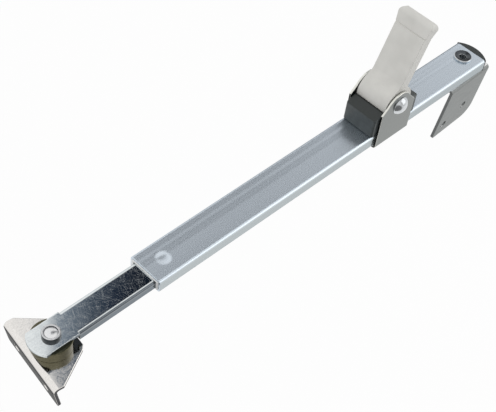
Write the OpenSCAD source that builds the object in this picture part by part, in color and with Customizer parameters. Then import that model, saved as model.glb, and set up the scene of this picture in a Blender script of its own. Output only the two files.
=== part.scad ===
// Window restrictor stay: a bar telescopes in a folded channel, a cam lever brakes it,
// and a pivoting bracket at each end is screwed to the frame and to the sash.
// The arm lies along X with the channel's top face up. The origin is the middle of the
// frame bracket's two screw holes, on the bracket's outer face.

/* [Outer channel] */
// Length of the channel, from its mouth to its closed end
channel_len = 240; // [200:1:320]
// Outside width of the channel
channel_w = 20; // [18:0.5:24]
// Outside depth of the channel
channel_h = 7.4; // [7.2:0.1:9]
// Sheet thickness of the channel
channel_sheet = 1; // [0.8:0.05:1.1]
// Outside radius of the channel's folds
channel_bend = 1.5; // [1.2:0.1:2.2]
// Width of each lip that is folded in under the channel
lip_w = 3.6; // [2.6:0.1:4.5]
// Distance from the mouth to the dimple that holds the guide
dimple_x = 10.6; // [8:0.1:14]
// Diameter of the dimple
dimple_d = 9; // [6:0.1:10]
// Depth of the dimple
dimple_depth = 0.5; // [0.3:0.05:0.5]

/* [Inner bar] */
// Distance from the mouth to the foot pivot, as drawn out here
bar_reach = 53; // [20:1:120]
// Length of the bar, from the foot pivot to its inner end
bar_len = 229; // [222:0.5:232]
// Outside width of the bar
bar_w = 15; // [13:0.1:15.6]
// Depth of the bar's folded flanges
bar_h = 4.25; // [3.6:0.05:4.3]
// Sheet thickness of the bar
bar_sheet = 1.4; // [1:0.05:1.6]
// Outside radius of the bar's folds
bar_bend = 1.8; // [1.7:0.05:2.4]
// Free height between the channel's top wall and the bar
bar_drop = 0.8; // [0.75:0.05:0.9]
// Radius of the bar's round end about the foot pivot
tongue_r = 11; // [9:0.1:13]
// Distance from the foot pivot to the start of the flanges
tongue_len = 9.6; // [9.6:0.1:14]

/* [Guides] */
// Length of the nylon guide in the mouth
guide_len = 22; // [18:0.5:30]
// Reach of the guide out of the mouth
guide_out = 0.5; // [0.2:0.1:1]
// Sliding gap between nylon and steel
slide_gap = 0.12; // [0.08:0.01:0.2]
// Length of the nylon slider's head behind the bar
slider_head = 8; // [5:0.5:9]
// Length of the slider's stem inside the bar
slider_stem = 14; // [8:0.5:20]
// Width of the low middle of the slider's head, which passes under the brake shoe
slider_low_w = 10; // [8.5:0.1:11]

/* [Clamp] */
// Distance from the mouth to the middle of the clamp
clamp_x = 159.6; // [140:0.1:165]
// Length of the yoke along the channel
yoke_len = 25.8; // [22:0.1:28]
// Sheet thickness of the yoke
yoke_sheet = 1.2; // [1:0.05:1.6]
// Gap between the channel and each ear
yoke_gap = 0.2; // [0.1:0.05:0.4]
// Outside radius of the yoke's folds
yoke_bend = 1.8; // [1.6:0.1:2.4]
// Height of the ears' front corner above the channel
ear_front_h = 14.2; // [12:0.1:16]
// Height of the ears' rear corner above the channel
ear_rear_h = 12.6; // [11:0.1:14]
// Radius of the ears' arched top
ear_arch_r = 9.4; // [8:0.1:10]
// Distance of the arch's centre in front of the pin
ear_arch_shift = 1.4; // [0:0.1:3]
// Distance of the arch's centre below the pin
ear_arch_drop = 1; // [0:0.1:2]
// Angle on the arch, up from level, where the ears' front edge joins it
ear_front_turn = 35; // [20:1:50]
// Angle on the arch, up from level, where the ears' rear edge joins it
ear_rear_turn = 48; // [35:1:60]
// Length of the clamp block along the channel
block_len = 34; // [31:0.1:36]
// Height of the block's end faces
block_end_h = 11.4; // [9:0.1:12]
// Height of the block beside the lever's hub
block_top_h = 13.8; // [12.5:0.1:14]
// Chamfer on the block's upright corners
block_chamfer = 0.8; // [0.3:0.1:1.5]

/* [Lever] */
// Distance of the lever's pin behind the middle of the yoke
pin_shift = 0.8; // [0:0.1:2]
// Height of the lever's pin above the channel
pin_h = 14.4; // [14:0.1:15.5]
// Diameter of the lever's pin
pin_d = 5; // [4:0.1:6]
// Diameter of the pin's domed head
pin_head_d = 10.4; // [7.5:0.1:12]
// Height of the pin's domed head
pin_head_h = 3.2; // [2:0.1:3.5]
// Diameter of the pin's flat formed end
pin_tail_d = 8; // [6.5:0.1:9.5]
// Height of the pin's flat formed end
pin_tail_h = 1.4; // [1:0.1:2]
// Radius of the lever's hub
hub_r = 10; // [9:0.1:10.2]
// Step from the arm's sides out to the hub's ends
hub_step = 0.1; // [0.05:0.05:0.3]
// Gap between the hub and the block's cradle
hub_gap = 0.4; // [0.3:0.05:0.8]
// Width of the lever
lever_w = 19; // [16:0.1:19.4]
// Thickness of the lever's arm
lever_t = 6.4; // [4.5:0.1:7]
// Distance of the arm's front face in front of the pin
lever_front = 4.6; // [3:0.1:5.5]
// Radius of the hollow where the arm's front face runs into the hub
lever_blend = 7; // [4:0.1:9]
// Length of the lever from the pin to its tip
lever_len = 46.4; // [38:0.1:60]
// Lean of the lever from upright, as drawn here
lever_lean = 21.4; // [0:0.1:30]
// Length of the flared finger tip
tip_len = 8.8; // [6:0.1:12]
// Width of the flared finger tip
tip_w = 21.2; // [19.5:0.1:24]
// Radius of the tip's corners
tip_r = 3; // [1.5:0.1:4]
// Width and depth of the groove under the finger tip
tip_groove = 0.7; // [0.3:0.05:1]
// Diameter of the hub's side bosses
boss_d = 12; // [9:0.1:14]
// Gap between each boss and its ear
boss_gap = 0.15; // [0.1:0.05:0.3]

/* [Brake] */
// Travel of the brake shoe over the lever's throw
brake_lift = 1; // [0.7:0.05:1.1]
// Angle of the lever from this pose to fully clamped
lever_throw = 55; // [40:1:56]
// Angle of the lever from this pose back to fully released
lever_back = 20; // [5:1:30]
// Radius of the cam where it meets the shoe in this pose
cam_r = 7.2; // [6.5:0.1:7.6]
// Length of the brake shoe along the bar
shoe_len = 8; // [6:0.1:8.4]
// Width of the brake shoe
shoe_w = 6; // [5:0.1:7]
// Gap round the brake shoe in its slot
shoe_gap = 0.15; // [0.1:0.05:0.3]
// Gap between the shoe and the cam, and between the clamped shoe and the bar
shoe_play = 0.12; // [0.1:0.01:0.2]
// Relief of the cam's surface above its shoe
cam_relief = 0.06; // [0.03:0.01:0.1]
// Gap between the shoe's sides and the cam groove
groove_gap = 0.35; // [0.3:0.05:0.6]

/* [Pivot rivets] */
// Diameter of the rivets' shanks
rivet_d = 6; // [5:0.1:6.5]
// Diameter of the foot rivet's head
foot_head_d = 8.6; // [8:0.1:10]
// Height of the foot rivet's head
foot_head_h = 1.9; // [1.2:0.1:2.4]
// Diameter of the dished middle of the foot rivet's head
foot_dish_d = 6.2; // [4:0.1:7]
// Depth of that dish
foot_dish = 0.45; // [0.2:0.05:0.8]
// Diameter of the frame rivet's rolled head
wall_head_d = 10; // [8:0.1:11]
// Height of the frame rivet's rolled head
wall_head_h = 1.3; // [0.8:0.1:2]
// Diameter of the eye in the frame rivet
wall_eye_d = 4; // [3:0.1:4.4]
// Depth of that eye below the head's top
wall_eye = 5; // [2:0.1:6]
// Diameter of the rivets' formed lower ends
rivet_tail_d = 9; // [8:0.1:10]
// Height of the formed lower ends
rivet_tail_h = 1.5; // [1:0.1:2]
// Outside diameter of the washers
washer_d = 13; // [11:0.1:15]
// Thickness of the washers
washer_t = 0.5; // [0.4:0.1:1.4]
// Radial clearance of a pivot that turns
run_fit = 0.06; // [0.03:0.01:0.09]
// Radial clearance of a seat that does not turn
seat_fit = 0.03; // [0.02:0.01:0.05]
// Clearance between faces that turn on each other
face_gap = 0.05; // [0.03:0.01:0.15]

/* [Foot bracket] */
// Diameter of the spacer under the bar
spacer_d = 19.4; // [16:0.1:20]
// Height of the spacer under the bar
spacer_h = 5.6; // [4:0.1:7]
// Sheet thickness of the foot bracket
foot_sheet = 1.6; // [1.2:0.1:2.2]
// Outside radius of the foot bracket's fold
foot_bend = 2.6; // [2.4:0.1:3.4]
// Swing of the foot bracket about its pivot, as drawn here
foot_swing = -7; // [-30:0.1:30]
// Distance from the pivot to the outer face of the flange
foot_back = 11.6; // [11.4:0.1:16]
// Distance from the pivot to the plate's front edge
foot_front = 11.2; // [9:0.1:14]
// Length of the bracket at its fold
foot_len = 42.2; // [38:0.1:60]
// Width of the plate's front edge
foot_nose_w = 18; // [14:0.1:24]
// Length of the plate's straight ends next to the fold
foot_shoulder = 5; // [4.5:0.1:6]
// Size of the cut at each corner of the front edge
foot_chop = 1.6; // [0.8:0.1:3]
// Height of the flange below the plate's top
foot_flange_h = 14; // [12:0.1:18]
// Lean of the flange in under the plate
foot_lean = 10; // [0:0.5:12]
// Radius of the flange's lower corners
foot_corner_r = 2; // [1:0.1:4]
// Spacing of the two screw holes in the flange
foot_hole_pitch = 24; // [18:0.5:32]
// Depth of the screw holes below the plate's top
foot_hole_low = 8.4; // [6.6:0.1:9.4]
// Diameter of the screw holes in the flange
foot_hole_d = 4.2; // [3:0.1:5]

/* [Frame bracket] */
// Distance from the channel's end to the frame pivot
wall_inset = 8; // [7:0.1:9]
// Sheet thickness of the frame bracket
wall_sheet = 1.8; // [1.4:0.1:2.4]
// Outside radius of the frame bracket's fold
wall_bend = 2.1; // [2:0.1:3.6]
// Swing of the frame bracket about its pivot, as drawn here
wall_swing = 2.3; // [-20:0.1:20]
// Lean of the plate in under the arm
wall_lean = 6; // [0:0.5:12]
// Distance from the pivot to the outer face of the plate at its fold
wall_back = 9.8; // [9.4:0.1:14]
// Reach of the plate beside the pivot towards the mouth
wall_reach_in = 19.1; // [15:0.1:26]
// Reach of the plate beside the pivot towards the closed end
wall_reach_out = 16; // [13:0.1:20]
// Height of the plate below the leg's top
wall_h = 38.6; // [36:0.5:60]
// Radius of the plate's inner lower corner
wall_tip_r = 0.8; // [0.5:0.1:3]
// Radius of the plate's outer lower corner
wall_corner_r = 8; // [3:0.5:10]
// Radius of the leg's round end about the pivot
wall_leg_r = 9.6; // [8:0.1:10.5]
// Angle from the leg's middle line to where its inner side meets the round end
wall_leg_in = 40; // [20:1:60]
// Angle from the leg's middle line to where its outer side meets the round end
wall_leg_out = 78; // [60:1:85]
// Distance from the plate's inner side edge to the first screw hole
wall_hole_side = 6.6; // [5:0.1:9]
// Height of the first screw hole above the plate's lower edge
wall_hole_low = 8; // [6:0.1:12]
// Spacing of the two screw holes along the plate
wall_hole_pitch = 16; // [12:0.1:18]
// Rise from the first screw hole to the second
wall_hole_rise = 6; // [0:0.1:8]
// Diameter of the screw holes in the plate
wall_hole_d = 4.4; // [3.5:0.1:5.5]

/* [End cap] */
// Thickness of the cap at the channel's sides
cap_side = 0.8; // [0.5:0.1:1.5]
// Thickness of the cap in the middle
cap_mid = 4.6; // [3:0.1:6]
// Thickness of the plug in front of the frame rivet
plug_wall = 2.5; // [1:0.1:3]
// Radius of the cap's upper and lower edges
cap_edge_r = 0.8; // [0.3:0.1:1.2]

/* [Hidden] */
$fn = 64;
far = 100;
tiny = 0.01;
// Overshoot of a cut past the face it opens
over = 1;
// Share of a round end's radius at which its straight sides run into it
join = 0.98;
// Facets round a bracket's bend, and the straight left beside it
bend_steps = 10;
fold_lip = 0.3;
// Channel, seen from its mouth
cavity_w = channel_w - 2*channel_sheet;
cavity_top = -channel_sheet;
cavity_low = channel_sheet - channel_h;
lip_gap = channel_w - 2*lip_w;
// Bar
bar_top = cavity_top - bar_drop;
bar_low = bar_top - bar_h;
tongue_low = bar_top - bar_sheet;
bar_tail_x = bar_len - bar_reach;
// Clamp and lever
pin_x = clamp_x + pin_shift;
ear_in = channel_w/2 + yoke_gap;
ear_out = ear_in + yoke_sheet;
yoke_low = -channel_h - yoke_sheet;
cradle_r = hub_r + hub_gap;
cam_rise = brake_lift/lever_throw;
shoe_top = pin_h - cam_r - shoe_play;
shoe_low = bar_top + brake_lift + shoe_play;
// Pivots
wall_x = channel_len - wall_inset;
wall_z = -channel_h - washer_t - face_gap;
foot_z = tongue_low - spacer_h - face_gap;
rivet_r = rivet_d/2;
// End plug inside the channel
plug_len = wall_inset + rivet_r + plug_wall;
// Frame bracket's screw holes in its own flat plate, from the pivot and the fold
wall_holes = [for (i = [0, 1])
  [wall_hole_side - wall_reach_in + i*wall_hole_pitch, wall_hole_low - wall_h + i*wall_hole_rise]];
wall_mid = (wall_holes[0] + wall_holes[1])/2;
// Where the middle of those holes lies in the arm's frame
wall_fold = [wall_bend - wall_back, wall_z - wall_bend];
wall_drop = wall_mid[1] + wall_bend;
wall_mid_y = wall_fold[0] - wall_bend*cos(wall_lean) - wall_drop*sin(wall_lean);
wall_mid_z = wall_fold[1] - wall_bend*sin(wall_lean) + wall_drop*cos(wall_lean);
arm_shift = -[
  wall_x + wall_mid[0]*cos(wall_swing) - wall_mid_y*sin(wall_swing),
  wall_mid[0]*sin(wall_swing) + wall_mid_y*cos(wall_swing),
  wall_mid_z];

// Places: the arm, the two pivots, the lever's pin
module on_arm() { translate(arm_shift) children(); }
module at_foot() { on_arm() translate([-bar_reach, 0, 0]) children(); }
module at_wall() { on_arm() translate([wall_x, 0, 0]) children(); }
module at_pin() { on_arm() translate([pin_x, 0, pin_h]) children(); }

// A section drawn in Y and Z, pulled along X from x0
module pull_x(x0, length) {
  translate([x0, 0, 0]) rotate([90, 0, 90]) linear_extrude(length) children();
}

// An outline drawn in X and Z, pulled along Y and centred on it
module pull_y(width) {
  translate([0, width/2, 0]) rotate([90, 0, 0]) linear_extrude(width) children();
}

// Section of a sheet folded down at both sides: top edge at 0, round upper corners
module fold_section(w, h, r) {
  translate([-w/2, -h]) square([w, h - r]);
  translate([r - w/2, -h]) square([w - 2*r, h]);
  for (s = [-1, 1]) translate([s*(w/2 - r), -r]) circle(r);
}

// Section with all four corners round
module tube_section(w, h, r) {
  translate([r - w/2, -h]) square([w - 2*r, h]);
  translate([-w/2, r - h]) square([w, h - 2*r]);
  for (s = [-1, 1], z = [-r, r - h]) translate([s*(w/2 - r), z]) circle(r);
}

// A block that fills the channel's inside from x0, with a gap all round
module cavity_block(x0, length, gap) {
  pull_x(x0, length) translate([0, cavity_top - gap])
    tube_section(cavity_w - 2*gap, cavity_top - cavity_low - 2*gap, channel_bend - channel_sheet);
}

// Plan of a block with its corners chamfered
module chamfer_plan(length, width, c) {
  x = length/2;
  y = width/2;
  polygon([
    [c - x, -y], [x - c, -y], [x, c - y], [x, y - c],
    [x - c, y], [c - x, y], [-x, y - c], [-x, c - y]]);
}

// Section of a bent sheet: flat to the right, round the origin, and down through 90 and the lean
function arc(r, from, to) = [for (i = [0 : bend_steps])
  let (a = from + (to - from)*i/bend_steps) r*[cos(a), sin(a)]];
module bent_section(r, sheet, lean, flat, drop) {
  turn = 180 + lean;
  out = [cos(turn), sin(turn)];
  low = drop*[sin(lean), -cos(lean)];
  polygon(concat(
    [[flat, r]], arc(r, 90, turn), [r*out + low],
    [(r - sheet)*out + low], arc(r - sheet, turn, 90), [[flat, r - sheet]]));
}

// Trim for a plate that hangs from its fold: x0 to x1, down to depth, with two round corners
module plate_trim(x0, x1, depth, r0, r1) {
  pull_y(far) translate([x0 + r0, -depth]) square([x1 - x0 - r0 - r1, far]);
  pull_y(far) translate([x0, r0 - depth]) square([x1 - x0 - r1, far]);
  pull_y(far) translate([x0 + r0, r1 - depth]) square([x1 - x0 - r0, far]);
  pull_y(far) translate([x0 + r0, r0 - depth]) circle(r0);
  pull_y(far) translate([x1 - r1, r1 - depth]) circle(r1);
}

// A rivet's shank with its formed end under tail_z
module rivet_shank(head_z, tail_z) {
  edge = 0.5;
  drill(tail_z, head_z, rivet_r);
  rotate_extrude() polygon([
    [0, tail_z - rivet_tail_h], [rivet_tail_d/2 - edge, tail_z - rivet_tail_h],
    [rivet_tail_d/2, tail_z - rivet_tail_h + edge], [rivet_tail_d/2, tail_z], [0, tail_z]]);
}

module washer(top_z) {
  translate([0, 0, top_z - washer_t]) difference() {
    cylinder(d = washer_d, h = washer_t);
    translate([0, 0, -over]) cylinder(r = rivet_r + run_fit, h = washer_t + 2*over);
  }
}

module drill(z0, z1, r) { translate([0, 0, z0]) cylinder(r = r, h = z1 - z0); }

// Frame bracket: a leg under the channel and a plate folded down on the near side
module at_wall_fold() {
  translate([0, wall_bend - wall_back, -wall_bend]) children();
}

module wall_leg_waste() {
  join_r = join*wall_leg_r;
  fold_y = wall_bend - wall_back;
  translate([0, 0, -2*wall_sheet]) linear_extrude(3*wall_sheet) difference() {
    translate([-far/2, fold_y + fold_lip]) square(far);
    circle(wall_leg_r);
    polygon([
      [-wall_reach_in, fold_y], [wall_reach_out, fold_y],
      join_r*[sin(wall_leg_out), cos(wall_leg_out)], join_r*[-sin(wall_leg_in), cos(wall_leg_in)]]);
  }
}

module wall_bracket() {
  color("darkgray") at_wall() rotate([0, 0, wall_swing]) translate([0, 0, wall_z]) difference() {
    at_wall_fold() intersection() {
      pull_x(-far/2, far) bent_section(wall_bend, wall_sheet, wall_lean, wall_back + wall_leg_r, wall_h);
      rotate([wall_lean, 0, 0]) union() {
        plate_trim(-wall_reach_in, wall_reach_out, wall_h - wall_bend, wall_tip_r, wall_corner_r);
      }
    }
    wall_leg_waste();
    drill(-far, far, rivet_r + run_fit);
    at_wall_fold() rotate([wall_lean, 0, 0]) for (p = wall_holes) translate([p[0], 0, p[1] + wall_bend])
      rotate([90, 0, 0]) cylinder(d = wall_hole_d, h = 4*wall_bend, center = true);
  }
}

module wall_washer() { color("ivory") at_wall() washer(-channel_h); }

module wall_tail_washer() { color("silver") at_wall() washer(wall_z - wall_sheet - face_gap); }

// Frame rivet: a tubular rivet whose rolled head shows a dark eye
module wall_rivet() {
  lip = wall_head_h/2;
  color("silver") at_wall() difference() {
    union() {
      rivet_shank(tiny, wall_z - wall_sheet - face_gap - washer_t);
      cylinder(d = wall_head_d - 2*lip, h = wall_head_h);
      rotate_extrude() translate([wall_head_d/2 - lip, lip]) circle(lip);
    }
    drill(wall_head_h - wall_eye, wall_head_h + over, wall_eye_d/2);
    rotate_extrude() polygon([
      [0, wall_head_h - lip], [wall_eye_d/2, wall_head_h - lip],
      [wall_head_d/2 - lip, wall_head_h], [wall_head_d/2 - lip, wall_head_h + over], [0, wall_head_h + over]]);
  }
}

// Outer channel: one folded sheet with a dimple, a brake slot and a rivet hole
module dimple(grow) {
  r = dimple_d/2;
  ball = (r*r + dimple_depth*dimple_depth)/(2*dimple_depth);
  translate([dimple_x, 0, ball - dimple_depth]) sphere(r = ball + grow);
}

module shoe_slot() {
  size = [shoe_len + 2*shoe_gap, shoe_w + 2*shoe_gap];
  translate([pin_x - size[0]/2, -size[1]/2, bar_top]) cube([size[0], size[1], pin_h - bar_top]);
}

module outer_channel() {
  color("lightsteelblue") on_arm() difference() {
    union() {
      pull_x(0, channel_len) difference() {
        tube_section(channel_w, channel_h, channel_bend);
        translate([0, -channel_sheet])
          tube_section(cavity_w, channel_h - 2*channel_sheet, channel_bend - channel_sheet);
        translate([-lip_gap/2, -2*channel_h]) square([lip_gap, 1.5*channel_h]);
      }
      intersection() {
        dimple(channel_sheet);
        translate([dimple_x - dimple_d, -dimple_d, cavity_top - dimple_depth])
          cube([2*dimple_d, 2*dimple_d, channel_sheet/2 + dimple_depth]);
      }
    }
    dimple(0);
    shoe_slot();
    translate([wall_x, 0, 0]) drill(-channel_sheet - over, over, rivet_r + seat_fit);
  }
}

// End cap: a plug that the frame rivet passes through, and a bowed outer face
module end_cap() {
  bow = cap_mid - cap_side;
  bow_r = (channel_w*channel_w/4 + bow*bow)/(2*bow);
  color("dimgray") on_arm() difference() {
    union() {
      cavity_block(channel_len - plug_len, plug_len, seat_fit);
      translate([channel_len - plug_len, seat_fit - lip_gap/2, -channel_h])
        cube([plug_len, lip_gap - 2*seat_fit, channel_h/2]);
      intersection() {
        translate([channel_len + cap_mid - bow_r, 0, 0]) rotate_extrude() {
          translate([0, -channel_h]) square([bow_r - cap_edge_r, channel_h]);
          translate([0, cap_edge_r - channel_h]) square([bow_r, channel_h - 2*cap_edge_r]);
          for (z = [-cap_edge_r, cap_edge_r - channel_h]) translate([bow_r - cap_edge_r, z]) circle(cap_edge_r);
        }
        translate([channel_len, -channel_w/2, -channel_h]) cube([cap_mid + over, channel_w, channel_h]);
      }
    }
    translate([wall_x, 0, 0]) drill(-far, far, rivet_r + seat_fit);
  }
}

// Mouth guide: a nylon liner between the channel and the bar
module mouth_guide() {
  color("white") on_arm() difference() {
    cavity_block(-guide_out, guide_len + guide_out, seat_fit);
    translate([-guide_out - over, -bar_w/2 - slide_gap, -far])
      cube([guide_len + guide_out + 2*over, bar_w + 2*slide_gap, far + bar_top + slide_gap]);
    dimple(channel_sheet + seat_fit);
  }
}

// Clamp yoke: a sheet folded up round the channel, with an ear on each side
module ear_trim(depth) {
  front = clamp_x - yoke_len/2;
  rear = clamp_x + yoke_len/2;
  arch = [pin_x - ear_arch_shift, pin_h - ear_arch_drop];
  join_r = join*ear_arch_r;
  union() {
    pull_y(depth) translate(arch) circle(ear_arch_r);
    pull_y(depth) polygon([
      [front, yoke_low], [front, ear_front_h],
      arch + join_r*[-cos(ear_front_turn), sin(ear_front_turn)],
      arch + join_r*[cos(ear_rear_turn), sin(ear_rear_turn)],
      [rear, ear_rear_h], [rear, yoke_low]]);
  }
}

module clamp_yoke() {
  top = pin_h + ear_arch_r;
  color("silver") on_arm() difference() {
    intersection() {
      pull_x(clamp_x - yoke_len/2, yoke_len) mirror([0, 1]) translate([0, -yoke_low]) difference() {
        fold_section(2*ear_out, top - yoke_low, yoke_bend);
        translate([0, -yoke_sheet]) fold_section(2*ear_in, top - yoke_low, yoke_bend - yoke_sheet);
      }
      ear_trim(4*ear_out);
    }
    translate([pin_x, 0, pin_h]) rotate([90, 0, 0])
      cylinder(r = pin_d/2 + seat_fit, h = 4*ear_out, center = true);
  }
}

// Clamp block: a saddle between the ears, with a cradle for the hub and a slot for the shoe
module clamp_body() {
  front = pin_x - block_len/2;
  color("darkslategray") on_arm() difference() {
    intersection() {
      pull_y(channel_w) polygon([
        [front, 0], [front, block_end_h],
        [pin_x - cradle_r, block_top_h], [pin_x + cradle_r, block_top_h],
        [front + block_len, block_end_h], [front + block_len, 0]]);
      translate([pin_x, 0, 0]) linear_extrude(pin_h) chamfer_plan(block_len, channel_w, block_chamfer);
    }
    translate([pin_x, 0, pin_h]) rotate([90, 0, 0]) cylinder(r = cradle_r, h = 2*channel_w, center = true);
    shoe_slot();
  }
}

// Lever pin: a domed head on the near ear and a flat formed end on the far ear
module lever_pin() {
  r = pin_head_d/2;
  ball = (r*r + pin_head_h*pin_head_h)/(2*pin_head_h);
  color("gainsboro") at_pin() rotate([90, 0, 0]) {
    translate([0, 0, -ear_out]) cylinder(d = pin_d, h = 2*ear_out);
    intersection() {
      translate([0, 0, ear_out + pin_head_h - ball]) sphere(r = ball);
      translate([0, 0, ear_out]) cylinder(r = r, h = pin_head_h);
    }
    translate([0, 0, -ear_out - pin_tail_h]) cylinder(d = pin_tail_d, h = pin_tail_h);
  }
}

// Lever: a hub with a spiral cam cut into its underside, an arm and a flared finger tip.
// The cam's radius grows with the angle from straight down, at the rate that lifts the shoe.
module cam_cut() {
  steps = 36;
  margin = 6;
  rim_r = hub_r + 2*over;
  spread = atan2(shoe_len/2, cam_r - shoe_play) + margin;
  start = -lever_back - spread;
  stop = lever_throw + spread;
  angles = [for (i = [0 : steps]) start + (stop - start)*i/steps];
  cam = [for (a = angles) (cam_r - cam_relief + cam_rise*a)*[sin(a), -cos(a)]];
  rim = [for (i = [steps : -4 : 0]) rim_r*[sin(angles[i]), -cos(angles[i])]];
  pull_y(shoe_w + 2*groove_gap) polygon(concat(cam, rim));
}

module lever_hollow() {
  fit = 0.03;
  inset = 1;
  centre = [-lever_front - lever_blend, sqrt(pow(hub_r + lever_blend, 2) - pow(lever_front + lever_blend, 2))];
  inside = (hub_r - 2*inset)/(hub_r + lever_blend)*centre;
  pull_y(2*tip_w) difference() {
    polygon([inside, centre, [inset - lever_front, centre[1]]]);
    translate(centre) circle(lever_blend + fit);
  }
}

module lever_arm() {
  end_r = lever_t/2;
  body = lever_len - tip_len;
  rotate([0, lever_lean, 0]) difference() {
    intersection() {
      union() {
        translate([-lever_front, -tip_w, 0]) cube([lever_t, 2*tip_w, lever_len - end_r]);
        translate([end_r - lever_front, tip_w, lever_len - end_r])
          rotate([90, 0, 0]) cylinder(r = end_r, h = 2*tip_w);
        lever_hollow();
      }
      translate([far/2, 0, 0]) rotate([0, -90, 0]) linear_extrude(far) {
        translate([0, -lever_w/2]) square([body, lever_w]);
        polygon([
          [body, -lever_w/2], [lever_len - tip_r, -tip_w/2], [lever_len - tip_r, tip_w/2], [body, lever_w/2]]);
        translate([lever_len - tip_r - tiny, tip_r - tip_w/2]) square([tip_r + tiny, tip_w - 2*tip_r]);
        for (s = [-1, 1]) translate([lever_len - tip_r, s*(tip_w/2 - tip_r)]) circle(tip_r);
      }
    }
    translate([-lever_front, 0, body]) rotate([0, 45, 0])
      cube([tip_groove, 2*tip_w, tip_groove], center = true);
  }
}

module lever() {
  color("linen") at_pin() difference() {
    union() {
      pull_y(lever_w + 2*hub_step) circle(hub_r);
      pull_y(2*(ear_in - boss_gap)) circle(d = boss_d);
      lever_arm();
    }
    rotate([90, 0, 0]) cylinder(r = pin_d/2 + run_fit, h = 4*ear_out, center = true);
    cam_cut();
  }
}

module brake_shoe() {
  color("peru") on_arm() translate([pin_x - shoe_len/2, -shoe_w/2, shoe_low])
    cube([shoe_len, shoe_w, shoe_top - shoe_low]);
}

// Inner bar: a folded sheet whose flanges stop short of its flat round tongue
module inner_bar() {
  color("slategray") at_foot() difference() {
    union() {
      pull_x(tongue_len, bar_len - tongue_len) translate([0, bar_top]) difference() {
        fold_section(bar_w, bar_h, bar_bend);
        translate([0, -bar_sheet]) fold_section(bar_w - 2*bar_sheet, bar_h, bar_bend - bar_sheet);
      }
      translate([0, 0, tongue_low]) linear_extrude(bar_sheet) intersection() {
        translate([-tongue_r, -bar_w/2]) square([tongue_r + tongue_len, bar_w]);
        union() {
          circle(tongue_r);
          translate([0, -bar_w/2]) square([tongue_len, bar_w]);
        }
      }
    }
    drill(tongue_low - over, bar_top + over, rivet_r + seat_fit);
  }
}

// Bar slider: a nylon stem inside the bar's inner end and a wide head behind it
module bar_slider() {
  stem_w = bar_w - 2*bar_sheet - 2*seat_fit;
  color("white") on_arm() difference() {
    union() {
      translate([bar_tail_x - slider_stem, -stem_w/2, bar_low])
        cube([slider_stem + tiny, stem_w, tongue_low - seat_fit - bar_low]);
      cavity_block(bar_tail_x, slider_head, slide_gap);
    }
    translate([bar_tail_x - over, -slider_low_w/2, bar_top])
      cube([slider_head + 2*over, slider_low_w, bar_drop]);
  }
}

// Foot rivet: a solid rivet with a raised ring round its dished head
module foot_rivet() {
  edge = 0.3;
  r = foot_head_d/2;
  top = bar_top + foot_head_h;
  color("silver") at_foot() {
    rivet_shank(bar_top + tiny, foot_z - foot_sheet - face_gap - washer_t);
    rotate_extrude() polygon([
      [0, bar_top], [r, bar_top], [r, top - edge], [r - edge, top],
      [foot_dish_d/2, top], [foot_dish_d/2 - foot_dish, top - foot_dish], [0, top - foot_dish]]);
  }
}

module foot_spacer() {
  color("darkkhaki") at_foot() difference() {
    drill(tongue_low - spacer_h, tongue_low, spacer_d/2);
    drill(-far, 0, rivet_r + seat_fit);
  }
}

module foot_tail_washer() { color("silver") at_foot() washer(foot_z - foot_sheet - face_gap); }

// Foot bracket, drawn along X: a tapered plate under the spacer, folded down to a screwed flange
module at_foot_fold() {
  translate([0, foot_bend - foot_back, -foot_bend]) children();
}

module foot_plate_waste() {
  knee_y = foot_shoulder - foot_back;
  slope = (foot_len/2 - foot_nose_w/2 - foot_chop/2)/(foot_front - foot_chop - knee_y);
  end_x = foot_len/2 + slope*(foot_shoulder - foot_bend);
  nose_x = foot_nose_w/2;
  translate([0, 0, -2*foot_sheet]) linear_extrude(3*foot_sheet) difference() {
    translate([-far/2, foot_bend + fold_lip - foot_back]) square(far);
    polygon([
      [-end_x, foot_bend - foot_back], [end_x, foot_bend - foot_back],
      [nose_x + foot_chop/2, foot_front - foot_chop], [nose_x - foot_chop, foot_front],
      [foot_chop - nose_x, foot_front], [-nose_x - foot_chop/2, foot_front - foot_chop]]);
  }
}

module foot_bracket() {
  color("whitesmoke") at_foot() rotate([0, 0, foot_swing - 90]) translate([0, 0, foot_z]) difference() {
    at_foot_fold() intersection() {
      pull_x(-far/2, far)
        bent_section(foot_bend, foot_sheet, foot_lean, foot_back + 2*foot_front, foot_flange_h);
      rotate([foot_lean, 0, 0]) union() {
        plate_trim(-foot_len/2, foot_len/2, foot_flange_h - foot_bend, foot_corner_r, foot_corner_r);
      }
    }
    foot_plate_waste();
    drill(-far, far, rivet_r + run_fit);
    at_foot_fold() rotate([foot_lean, 0, 0])
      for (s = [-1, 1]) translate([s*foot_hole_pitch/2, 0, foot_bend - foot_hole_low])
        rotate([90, 0, 0]) cylinder(d = foot_hole_d, h = 4*foot_bend, center = true);
  }
}

wall_bracket();
wall_washer();
wall_tail_washer();
wall_rivet();
outer_channel();
end_cap();
mouth_guide();
clamp_yoke();
clamp_body();
lever_pin();
lever();
brake_shoe();
inner_bar();
bar_slider();
foot_rivet();
foot_spacer();
foot_tail_washer();
foot_bracket();
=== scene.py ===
"""Looks of a telescopic window stay: plated steel strip, nylon lever and cap, in a plain white studio."""
import math

import bmesh
import bpy
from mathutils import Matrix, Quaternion, Vector


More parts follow.
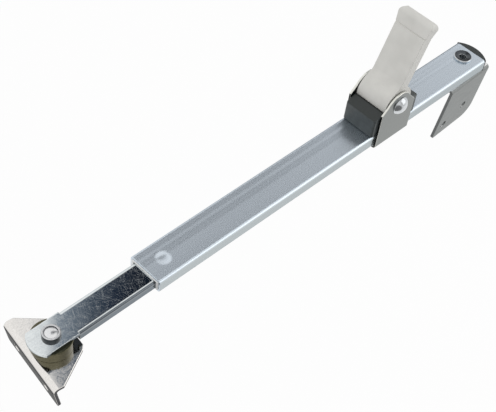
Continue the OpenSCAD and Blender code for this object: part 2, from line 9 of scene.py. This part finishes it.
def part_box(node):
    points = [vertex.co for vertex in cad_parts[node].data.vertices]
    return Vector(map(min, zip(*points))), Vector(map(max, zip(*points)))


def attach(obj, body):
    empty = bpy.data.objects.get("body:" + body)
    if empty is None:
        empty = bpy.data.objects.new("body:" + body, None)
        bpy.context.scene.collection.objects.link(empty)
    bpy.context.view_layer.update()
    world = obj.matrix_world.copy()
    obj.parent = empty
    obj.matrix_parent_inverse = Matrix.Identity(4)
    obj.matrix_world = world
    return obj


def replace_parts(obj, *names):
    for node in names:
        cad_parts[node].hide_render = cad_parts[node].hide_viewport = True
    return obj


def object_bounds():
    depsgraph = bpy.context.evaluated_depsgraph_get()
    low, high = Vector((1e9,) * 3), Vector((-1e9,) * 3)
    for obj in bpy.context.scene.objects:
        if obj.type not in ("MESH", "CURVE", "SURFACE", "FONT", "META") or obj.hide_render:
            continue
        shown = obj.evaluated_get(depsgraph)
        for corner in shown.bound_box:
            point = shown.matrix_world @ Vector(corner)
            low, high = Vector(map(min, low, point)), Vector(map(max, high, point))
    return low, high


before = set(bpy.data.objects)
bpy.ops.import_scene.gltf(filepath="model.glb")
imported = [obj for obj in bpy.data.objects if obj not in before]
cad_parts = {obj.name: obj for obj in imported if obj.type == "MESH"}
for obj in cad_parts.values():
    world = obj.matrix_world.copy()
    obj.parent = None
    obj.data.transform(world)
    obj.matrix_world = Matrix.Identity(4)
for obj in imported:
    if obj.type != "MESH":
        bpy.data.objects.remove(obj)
cad_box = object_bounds()

MM = 0.001
WHITE = "#FFFFFF"
# Ways that faces look, in the part's own frame
UP, DOWN, NEAR, FAR, FOOT_END = (0, 0, 1), (0, 0, -1), (0, -1, 0), (0, 1, 0), (-1, 0, 0)

# Camera: solved from the arm's long edges and the yoke's uprights, in the part's own frame
CAMERA_AT = Vector((-449.41, -225.77, 443.14)) * MM
CAMERA_AIM = Vector((-165.35, 4.87, 35.63)) * MM
CAMERA_ROLL = math.radians(8.64)
CAMERA_LENS = 83.56
CAMERA_SENSOR = 36.0


def linear(hex_colour):
    """An sRGB hex colour as linear RGBA."""
    parts = [int(hex_colour[i:i + 2], 16) / 255 for i in (1, 3, 5)]
    return (*[c / 12.92 if c <= 0.04045 else ((c + 0.055) / 1.055) ** 2.4 for c in parts], 1.0)


def add(tree, kind, inputs=None, out=0, **settings):
    """Adds one shader node with its settings and links, and gives one of its outputs."""
    node = tree.nodes.new("ShaderNode" + kind)
    for name, value in settings.items():
        setattr(node, name, value)
    for key, value in (inputs or {}).items():
        if isinstance(value, bpy.types.NodeSocket):
            tree.links.new(value, node.inputs[key])
        else:
            node.inputs[key].default_value = value
    return node.outputs[out] if node.outputs else node


# Materials: every length is in millimetres

# How squarely a face must look one way to start taking its painted shade or painted highlight, and to have
# all of it
PAINTED_LIGHT_FACING = (0.86, 0.97)
# Rubbed scratches: their directions in degrees, their length and width, and the noise values between which
# they show. Real ones are a tenth as wide, too fine to show, so these are drawn coarser
SCRATCH_TURNS = (25, 70, 118)
SCRATCH_SIZE = (7.0, 0.13)
SCRATCH_CUT = (0.70, 0.78)
# Noise values between which specks, mixed lines and clouds run from dull to bright
SPECK_SPAN = (0.3, 0.7)
MIXED_SPAN = (0.7, 1.3)
CLOUD_SPAN = (0.35, 0.65)
# Patches of tarnish: their size, and the noise values between which they run from clear to dull
BLOOM_SIZE = 3.0
BLOOM_SPAN = (0.45, 0.75)
# How many finer layers each pattern has
LINE_DETAIL, GRAIN_DETAIL, CLOUD_DETAIL, SCRATCH_DETAIL = 4.0, 3.0, 2.0, 0.0
RIM_SAMPLES = 6
# Radius of a worn edge where a finish gives none of its own
WORN_RIM = 0.3
# Share of a strip's width, from near to far, over which its two ribs rise
RIB_SIDE = (0.5, 1.0)


def surface(name):
    """A material with its shader, its coordinates and its place on the part in millimetres."""
    material = bpy.data.materials.new(name)
    material.use_nodes = True
    tree = material.node_tree
    tree.nodes.clear()
    shader = add(tree, "BsdfPrincipled").node
    add(tree, "OutputMaterial", {"Surface": shader.outputs["BSDF"]})
    where = add(tree, "TexCoord").node.outputs
    place = add(tree, "VectorMath", {0: where["Object"], 1: (1 / MM,) * 3}, operation="MULTIPLY")
    return material, tree, shader, where, place


def grain(tree, place, along, across, detail=GRAIN_DETAIL):
    """Grain with cells of one length along the arm and another across it."""
    cells = add(tree, "VectorMath", {0: place, 1: (1 / along, 1 / across, 1 / across)}, operation="MULTIPLY")
    return add(tree, "TexNoise", {"Vector": cells, "Scale": 1.0, "Detail": detail})


def scratches(tree, place):
    """Short scratches in a few directions, 1 on a scratch and 0 between."""
    marks = 0.0
    for turn in SCRATCH_TURNS:
        turned = add(tree, "VectorRotate", {"Vector": place, "Axis": UP, "Angle": math.radians(turn)})
        streaks = grain(tree, turned, *SCRATCH_SIZE, SCRATCH_DETAIL)
        cut = add(tree, "MapRange", {"Value": streaks, "From Min": SCRATCH_CUT[0],
                                     "From Max": SCRATCH_CUT[1]})
        marks = add(tree, "Math", {0: marks, 1: cut}, operation="MAXIMUM")
    return marks


def paint_light_by_facing(tree, where, colour, faces):
    """Paints the faces that look one way another colour, as painted shade or painted highlight."""
    for way, painted_colour in faces:
        square = add(tree, "VectorMath", {0: where["Normal"], 1: way}, "Value", operation="DOT_PRODUCT")
        share = add(tree, "MapRange", {"Value": square, "From Min": PAINTED_LIGHT_FACING[0], "From Max": PAINTED_LIGHT_FACING[1]})
        colour = add(tree, "Mix", {"Factor": share, "A": colour, "B": linear(painted_colour)}, "Result",
                     data_type="RGBA")
    return colour


def relieve(tree, shader, height, rim):
    """Raises a surface by a height and rounds its edges to a radius, both in millimetres."""
    rounded = add(tree, "Bevel", {"Radius": rim * MM}, samples=RIM_SAMPLES)
    normal = add(tree, "Bump", {"Height": height, "Strength": 1.0, "Distance": MM, "Normal": rounded})
    tree.links.new(normal, shader.inputs["Normal"])


def far_ribs(tree, where):
    """Two shallow steps on the far half of a strip, rising from 0 to 1."""
    two_waves = 4 * math.pi
    across = add(tree, "SeparateXYZ", {"Vector": where["Generated"]}, "Y")
    side = add(tree, "MapRange", {"Value": across, "From Min": RIB_SIDE[0], "From Max": RIB_SIDE[1]})
    angle = add(tree, "Math", {0: side, 1: two_waves}, operation="MULTIPLY")
    wave = add(tree, "Math", {0: angle}, operation="SINE")
    return add(tree, "Math", {0: wave, 1: -1 / two_waves, 2: side}, operation="MULTIPLY_ADD")


def metal(name, light, dark, rough, line, speck, relief, scratch=0.0, bloom=0.0, ribs=0.0, faces=(),
          edge_on=WHITE, rim=WORN_RIM):
    """Bare or plated metal: rolling lines along the strip and fine specks, both of one relief.

    Scratch and bloom are how far rubbing and patches of tarnish dull the gloss. Ribs is the height of two
    shallow steps along the far side, and faces gives painted shade and painted highlight: colours painted on
    faces that look one way. Edge_on is the tint seen along a face, and rim the radius of a worn edge.
    """
    material, tree, shader, where, place = surface(name)
    lines = grain(tree, place, *line, LINE_DETAIL)
    specks = grain(tree, place, speck, speck)
    mixed = add(tree, "Math", {0: lines, 1: specks}, operation="ADD")
    shade = add(tree, "MapRange", {"Value": mixed, "From Min": MIXED_SPAN[0], "From Max": MIXED_SPAN[1]})
    colour = add(tree, "Mix", {"Factor": shade, "A": linear(dark), "B": linear(light)}, "Result",
                 data_type="RGBA")
    tree.links.new(paint_light_by_facing(tree, where, colour, faces), shader.inputs["Base Color"])
    shader.inputs["Metallic"].default_value = 1.0
    shader.inputs["Specular Tint"].default_value = linear(edge_on)
    gloss = add(tree, "MapRange", {"Value": specks, "From Min": SPECK_SPAN[0], "From Max": SPECK_SPAN[1],
                                   "To Min": rough[0], "To Max": rough[1]})
    if scratch:
        gloss = add(tree, "Math", {0: scratches(tree, place), 1: scratch, 2: gloss}, operation="MULTIPLY_ADD")
    if bloom:
        clouds = grain(tree, place, BLOOM_SIZE, BLOOM_SIZE, LINE_DETAIL)
        patches = add(tree, "MapRange", {"Value": clouds, "From Min": BLOOM_SPAN[0],
                                         "From Max": BLOOM_SPAN[1]})
        gloss = add(tree, "Math", {0: patches, 1: bloom, 2: gloss}, operation="MULTIPLY_ADD")
    tree.links.new(gloss, shader.inputs["Roughness"])
    height = add(tree, "Math", {0: mixed, 1: relief}, operation="MULTIPLY")
    if ribs:
        height = add(tree, "Math", {0: far_ribs(tree, where), 1: ribs, 2: height}, operation="MULTIPLY_ADD")
    relieve(tree, shader, height, rim)
    return material


def nylon(name, light, dark, rough, spark, cloud, relief, faces=()):
    """Moulded nylon: faint clouds of colour from the flow, and the mould's fine spark grain."""
    material, tree, shader, where, place = surface(name)
    sparks = grain(tree, place, spark, spark)
    clouds = grain(tree, place, cloud, cloud, CLOUD_DETAIL)
    shade = add(tree, "MapRange", {"Value": clouds, "From Min": CLOUD_SPAN[0], "From Max": CLOUD_SPAN[1]})
    colour = add(tree, "Mix", {"Factor": shade, "A": linear(dark), "B": linear(light)}, "Result",
                 data_type="RGBA")
    # Faces that look one way take painted shade or painted highlight
    tree.links.new(paint_light_by_facing(tree, where, colour, faces), shader.inputs["Base Color"])
    gloss = add(tree, "MapRange", {"Value": sparks, "From Min": SPECK_SPAN[0], "From Max": SPECK_SPAN[1],
                                   "To Min": rough[0], "To Max": rough[1]})
    tree.links.new(gloss, shader.inputs["Roughness"])
    height = add(tree, "Math", {0: sparks, 1: relief}, operation="MULTIPLY")
    relieve(tree, shader, height, WORN_RIM)
    return material


# Bright zinc on roll-formed strip: satin, with faint lines along it and two soft ribs by its far side; its
# near side is painted greyer as shade
channel_zinc = metal("bright_zinc_strip", "#E6EFF8", "#DDE7F0", (0.25, 0.30), line=(70.0, 0.6), speck=0.4,
                     relief=0.001, ribs=0.36, faces=[(NEAR, "#CCD2D3")], edge_on="#AEB4BA")
# Bright zinc polished by its guide: a mirror with fine scratches; its near fold and near side are painted
# greyer and its underside painted dark, as shade
NEAR_FOLD = (0, -0.707, 0.707)
bar_zinc = metal("polished_zinc_strip", "#F6FAFA", "#E6ECEE", (0.03, 0.08), line=(40.0, 0.4), speck=0.4,
                 relief=0.0003, scratch=0.12, bloom=0.045, edge_on="#AEB4BA", rim=0.7,
                 faces=[(DOWN, "#2A2D30"), (NEAR_FOLD, "#6A7076"), (NEAR, "#8C9297")])
# Pressed steel sheet: bright steel on its cut edges, with its sides painted grey and its edge towards the
# foot painted near black, as shade
yoke_steel = metal("tumbled_steel_sheet", "#F4F4EE", "#E8E8E0", (0.14, 0.24), line=(3.0, 1.2), speck=0.3,
                   relief=0.003, faces=[(NEAR, "#828583"), (FAR, "#828583"), (FOOT_END, "#17191B")])
# Matt zinc on a folded plate: an even grey; its upward faces, the hole walls, are painted white as highlight,
# and its faces towards the foot painted darker as shade
frame_zinc = metal("matt_zinc_plate", "#979A99", "#8B8E8D", (0.42, 0.55), line=(5.0, 1.5), speck=0.3,
                   relief=0.004, faces=[(FOOT_END, "#6C6E6E"), (UP, WHITE)])
# Bright zinc on a pressed plate: pale and faintly grained, its screw flange and end edge painted greyer as
# shade
FLANGE_FACE, FLANGE_END = (-0.977, 0.12, -0.174), (-0.12, -0.993, 0)
foot_zinc = metal("bright_zinc_plate", "#FFFCF8", "#EDEAE6", (0.02, 0.20), line=(1.0, 0.6), speck=0.5,
                  relief=0.002, faces=[(FLANGE_FACE, "#8A8A8C"), (FLANGE_END, "#707072")], edge_on="#505050")
# Spun steel: dark steel as painted shade, with the upward faces of the head, its crest and crown, painted
# bright as highlight
spun_steel = metal("spun_rivet_steel", "#44474A", "#36393C", (0.17, 0.25), line=(2.0, 1.0), speck=0.3,
                   relief=0.001, faces=[(UP, "#F2F2F3")])
# Nickel on pressed washers: bright, a little soft
washer_nickel = metal("nickel_washer", "#D6D8DA", "#C8CBCE", (0.14, 0.22), line=(2.0, 1.0), speck=0.3,
                      relief=0.001)
# Headed steel wire: a bright round head, its flat top painted dark as a painted reflection
pin_steel = metal("headed_steel_wire", "#DADDDF", "#CCD0D2", (0.16, 0.24), line=(2.0, 1.0), speck=0.3,
                  relief=0.001, faces=[(UP, "#4E5256")])
# Yellow chromate on a turned steel spacer: olive, with a low shine
spacer_chromate = metal("yellow_chromate_steel", "#6E6B55", "#5A5745", (0.06, 0.12), line=(1.5, 0.6),
                        speck=0.3, relief=0.0006)
# Brass sawn from bar: warm, with saw lines
shoe_brass = metal("sawn_brass", "#C8A65C", "#B3914A", (0.25, 0.40), line=(0.4, 0.1), speck=0.2, relief=0.006)
# Nylon with glass fibre: near black, with a matt grain that greys the light; its slope and top are painted
# darker as shade
BLOCK_SLOPE = (-0.5, 0, 0.866)
black_nylon = nylon("black_glass_filled_nylon", "#444A4B", "#3A4041", (0.32, 0.46), spark=0.2, cloud=3.0,
                    relief=0.01, faces=[(BLOCK_SLOPE, "#262B2A"), (UP, "#303534")])
# Nylon moulded in ivory: smooth and matt, with faint flow clouds
ivory_nylon = nylon("ivory_moulded_nylon", "#E1E0DB", "#D9D8D3", (0.38, 0.50), spark=0.25, cloud=9.0,
                    relief=0.006)
# Nylon moulded in its own white: a touch glossier
white_nylon = nylon("natural_white_nylon", "#F5F6F6", "#EEEFEF", (0.35, 0.50), spark=0.25, cloud=6.0,
                    relief=0.006)

# Each piece's finish and the width of its broken edge; where that is 0, the finish alone rounds the edge
PIECES = {
    "wall_bracket": (frame_zinc, 0.25), "wall_washer": (white_nylon, 0.1),
    "wall_tail_washer": (washer_nickel, 0.1), "wall_rivet": (pin_steel, 0.1),
    "outer_channel": (channel_zinc, 0.12), "end_cap": (black_nylon, 0.25), "mouth_guide": (white_nylon, 0.1),
    "clamp_yoke": (yoke_steel, 0.3), "clamp_body": (black_nylon, 0.6), "lever_pin": (pin_steel, 0.15),
    "lever": (ivory_nylon, 0.0), "brake_shoe": (shoe_brass, 0.3), "inner_bar": (bar_zinc, 0.0),
    "bar_slider": (white_nylon, 0.2), "foot_rivet": (spun_steel, 0.2), "foot_spacer": (spacer_chromate, 0.25),
    "foot_tail_washer": (washer_nickel, 0.1), "foot_bracket": (foot_zinc, 0.3),
}
WELD_REACH = 0.0005 * MM
FLAT_TURN, SHARP_TURN = math.radians(0.6), math.radians(34)
EDGE_STEPS = 3
FLAT_FACE_WEIGHT = 80


def soften(piece, width):
    """Joins a piece's flat faces and breaks its sharp edges."""
    piece.modifiers.new("weld", "WELD").merge_threshold = WELD_REACH
    flat = piece.modifiers.new("flat_faces", "DECIMATE")
    flat.decimate_type = "DISSOLVE"
    flat.angle_limit = FLAT_TURN
    if width:
        edge = piece.modifiers.new("broken_edge", "BEVEL")
        edge.width = width * MM
        edge.segments = EDGE_STEPS
        edge.limit_method = "ANGLE"
        edge.angle_limit = SHARP_TURN
        edge.use_clamp_overlap = False
    else:
        piece.modifiers.new("crisp_edge", "EDGE_SPLIT").split_angle = SHARP_TURN
    piece.modifiers.new("shading", "WEIGHTED_NORMAL").weight = FLAT_FACE_WEIGHT


for name, (finish, width) in PIECES.items():
    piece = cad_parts[name]
    piece.data.materials.clear()
    piece.data.materials.append(finish)
    soften(piece, width)

# Foot rivet: a spun ring round a low crown, over the solid's own shank and tail
RIVET_TURNS = 96
RIVET_CREASE = math.radians(50)
ROUND_STEPS = 8
HEAD_R, HEAD_H = 4.3, 1.9
SHANK_R = 3.0
TAIL_R, TAIL_H, TAIL_CUT = 4.5, 1.5, 0.1
HEAD_LIP, TAIL_LIP, CREST_R = 0.25, 0.5, 0.25
# Crown and groove: radius, and depth below the head's crest
CROWN = [(0, 0.12), (1.2, 0.17), (2.1, 0.32), (2.75, 0.5), (2.95, 0.52)]
CREST_INNER = 3.35


def arc(middle, radius, start, stop):
    """Corners of a round in a profile, between two angles in degrees from outward."""
    turns = [math.radians(start + (stop - start) * i / ROUND_STEPS) for i in range(ROUND_STEPS + 1)]
    return [(middle[0] + radius * math.cos(t), middle[1] + radius * math.sin(t)) for t in turns]


def rivet_profile(low, high):
    """Corners of the rivet's half section, as (radius, height) from its crown down to its tail."""
    crown = [(radius, high - depth) for radius, depth in CROWN]
    inner = arc((CREST_INNER, high - CREST_R), CREST_R, 180, 90)
    outer = arc((HEAD_R - HEAD_LIP, high - HEAD_LIP), HEAD_LIP, 90, 0)
    shank = [(HEAD_R, high - HEAD_H), (SHANK_R, high - HEAD_H), (SHANK_R, low + TAIL_H),
             (TAIL_R - TAIL_CUT, low + TAIL_H)]
    tail = arc((TAIL_R - TAIL_LIP, low + TAIL_LIP), TAIL_LIP, 0, -90) + [(0, low)]
    return crown + inner + outer + shank + tail


def turned(name, profile, middle):
    """A piece turned about an upright axis from a profile in millimetres."""
    shape = bmesh.new()
    turns = [2 * math.pi * i / RIVET_TURNS for i in range(RIVET_TURNS)]
    circles = []
    for radius, height in profile:
        spots = [(middle.x + radius * math.cos(t), middle.y + radius * math.sin(t), height) for t in turns]
        circles.append([shape.verts.new(Vector(spot) * MM) for spot in (spots if radius else spots[:1])])
    for upper, lower in zip(circles, circles[1:]):
        for i in range(RIVET_TURNS):
            corners = [upper[i % len(upper)], lower[i % len(lower)],
                       lower[(i + 1) % len(lower)], upper[(i + 1) % len(upper)]]
            shape.faces.new(list(dict.fromkeys(corners))).smooth = True
    bmesh.ops.recalc_face_normals(shape, faces=shape.faces)
    mesh = bpy.data.meshes.new(name)
    shape.to_mesh(mesh)
    shape.free()
    piece = bpy.data.objects.new(name, mesh)
    bpy.context.scene.collection.objects.link(piece)
    return piece


rivet_low, rivet_high = [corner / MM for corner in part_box("foot_rivet")]
rivet = turned("foot_rivet_spun", rivet_profile(rivet_low.z, rivet_high.z), (rivet_low + rivet_high) / 2)
rivet.data.materials.append(spun_steel)
rivet.modifiers.new("crisp_edge", "EDGE_SPLIT").split_angle = RIVET_CREASE
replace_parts(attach(rivet, "bar"), "foot_rivet")

# Studio: a white room with a dark gap between two panels overhead, along the arm, and a few dim corners
SKY = 0.86
# Heights of the gap's two ends round the arm in degrees, where along the arm's axis those are, and how far
# from the gap's middle it is clear and dark
GAP_LIFT = (64.5, 70.0)
GAP_ENDS = (0.42, 0.72)
GAP_WIDTH = (9.0, 5.5)
# Colours of the gap by compass angle from +X in degrees
GAP_COLOURS = [(20.0, WHITE), (26.0, "#3A444E"), (31.0, "#141C26"), (47.0, "#141C28"), (49.2, "#263040"),
               (50.8, "#48525F"), (52.4, "#6E7884"), (53.8, "#828C98"), (54.6, WHITE)]
# Dim corners: compass angle, height, dark and clear radius in degrees, share of light left
CORNERS = [(236, -20, 30, 46, 0.20), (40, 8, 14, 28, 0.35), (300, 30, 16, 40, 0.55)]


def towards(azimuth, height):
    """The direction with that compass angle from +X and that height, in degrees."""
    a, h = math.radians(azimuth), math.radians(height)
    return (math.cos(h) * math.cos(a), math.cos(h) * math.sin(a), math.sin(h))


def dark_gap(tree, way):
    """The sky's colour with the gap in it."""
    part = add(tree, "SeparateXYZ", {"Vector": way}).node.outputs
    # Angle round the arm, from level on the far side up to straight overhead
    lift = add(tree, "Math", {0: part["Z"], 1: part["Y"]}, operation="ARCTAN2")
    low, high = [math.radians(a) for a in GAP_LIFT]
    middle = add(tree, "MapRange", {"Value": part["X"], "From Min": GAP_ENDS[0], "From Max": GAP_ENDS[1],
                                    "To Min": low, "To Max": high})
    off = add(tree, "Math", {0: lift, 1: middle}, operation="SUBTRACT")
    off = add(tree, "Math", {0: off}, operation="ABSOLUTE")
    clear, dark = [math.radians(a) for a in GAP_WIDTH]
    share = add(tree, "MapRange", {"Value": off, "From Min": clear, "From Max": dark},
                interpolation_type="SMOOTHSTEP")
    start, stop = GAP_COLOURS[0][0], GAP_COLOURS[-1][0]
    turn = add(tree, "Math", {0: part["Y"], 1: part["X"]}, operation="ARCTAN2")
    along = add(tree, "MapRange", {"Value": turn, "From Min": math.radians(start),
                                   "From Max": math.radians(stop)})
    shades = add(tree, "ValToRGB", {"Fac": along})
    stops = shades.node.color_ramp.elements
    for angle, _ in GAP_COLOURS[1:-1]:
        stops.new((angle - start) / (stop - start))
    for element, (_, shade) in zip(stops, GAP_COLOURS):
        element.color = linear(shade)
    return add(tree, "Mix", {"Factor": share, "A": linear(WHITE), "B": shades}, "Result", data_type="RGBA")


def studio_sky():
    """The room's light; the eye sees plain white behind the part."""
    world = bpy.data.worlds.new("studio")
    bpy.context.scene.world = world
    world.use_nodes = True
    tree = world.node_tree
    tree.nodes.clear()
    way = add(tree, "TexCoord").node.outputs["Generated"]
    light = SKY
    for azimuth, height, inner, outer, level in CORNERS:
        near = add(tree, "VectorMath", {0: way, 1: towards(azimuth, height)}, "Value",
                   operation="DOT_PRODUCT")
        clear, dim = [math.cos(math.radians(a)) for a in (outer, inner)]
        left = add(tree, "MapRange", {"Value": near, "From Min": clear, "From Max": dim, "To Min": 1.0,
                                      "To Max": level}, interpolation_type="SMOOTHSTEP")
        light = add(tree, "Math", {0: light, 1: left}, operation="MULTIPLY")
    eye = add(tree, "LightPath").node.outputs["Is Camera Ray"]
    colour = add(tree, "Mix", {"Factor": eye, "A": dark_gap(tree, way), "B": linear(WHITE)}, "Result",
                 data_type="RGBA")
    light = add(tree, "Math", {0: light, 1: eye}, operation="MAXIMUM")
    sky = add(tree, "Background", {"Color": colour, "Strength": light})
    add(tree, "OutputWorld", {"Surface": sky})


# White board under the part, in metres: how far below, its near edge towards the camera and its other edges.
# Then the share of it that the eye and the steel see as plain white, and its paint
BOARD_DROP = 0.12
BOARD_NEAR, BOARD_FAR = -0.205, 0.8
BOARD_GLOW = 0.94
BOARD_PAINT = "#F4F4F4"


def pale_floor():
    """A white board: white to the eye and in the steel, with the part's faint shadow."""
    away = (CAMERA_AIM - CAMERA_AT) * Vector((1, 1, 0))
    away.normalize()
    side = away.cross(Vector(UP))
    corners = [away * a + side * b for a, b in ((BOARD_NEAR, -BOARD_FAR), (BOARD_NEAR, BOARD_FAR),
                                                (BOARD_FAR, BOARD_FAR), (BOARD_FAR, -BOARD_FAR))]
    mesh = bpy.data.meshes.new("floor")
    mesh.from_pydata(corners, [], [(0, 1, 2, 3)])
    floor = bpy.data.objects.new("floor", mesh)
    floor.location = (0, 0, cad_box[0][2] - BOARD_DROP)
    bpy.context.scene.collection.objects.link(floor)
    material = bpy.data.materials.new("white_board")
    material.use_nodes = True
    tree = material.node_tree
    tree.nodes.clear()
    ray = add(tree, "LightPath").node.outputs
    seen = add(tree, "Math", {0: ray["Is Camera Ray"], 1: ray["Is Glossy Ray"]}, operation="MAXIMUM")
    seen = add(tree, "Math", {0: seen, 1: ray["Is Transmission Ray"]}, operation="MAXIMUM")
    share = add(tree, "Math", {0: seen, 1: BOARD_GLOW}, operation="MULTIPLY")
    paint = add(tree, "BsdfDiffuse", {"Color": linear(BOARD_PAINT)})
    glow = add(tree, "Emission", {"Color": linear(WHITE), "Strength": 1.0})
    add(tree, "OutputMaterial", {"Surface": add(tree, "MixShader", {0: share, 1: paint, 2: glow})})
    mesh.materials.append(material)


# Soft box on the near side of the frame end: place and aim in metres, width in metres, power in watts
LAMP_AT, LAMP_AIM = Vector((0.5, -0.7, 0.5)), Vector((-0.08, 0.0, 0.03))
LAMP_WIDTH, LAMP_POWER = 0.8, 2.0


def soft_box():
    """A square soft box."""
    data = bpy.data.lights.new("near_softbox", "AREA")
    data.size = LAMP_WIDTH
    data.energy = LAMP_POWER
    box = bpy.data.objects.new("near_softbox", data)
    bpy.context.scene.collection.objects.link(box)
    box.location = LAMP_AT
    box.rotation_euler = (LAMP_AIM - LAMP_AT).to_track_quat("-Z", "Y").to_euler()


def set_camera():
    """The camera, at the photograph's angle."""
    data = bpy.data.cameras.new("camera")
    data.lens = CAMERA_LENS
    data.sensor_width = CAMERA_SENSOR
    data.sensor_fit = "HORIZONTAL"
    camera = bpy.data.objects.new("camera", data)
    bpy.context.scene.collection.objects.link(camera)
    camera.location = CAMERA_AT
    camera.rotation_mode = "QUATERNION"
    look = (CAMERA_AIM - CAMERA_AT).to_track_quat("-Z", "Y")
    camera.rotation_quaternion = look @ Quaternion(UP, CAMERA_ROLL)
    bpy.context.scene.camera = camera


studio_sky()
pale_floor()
soft_box()
set_camera()
bpy.context.scene.view_settings.view_transform = "Standard"
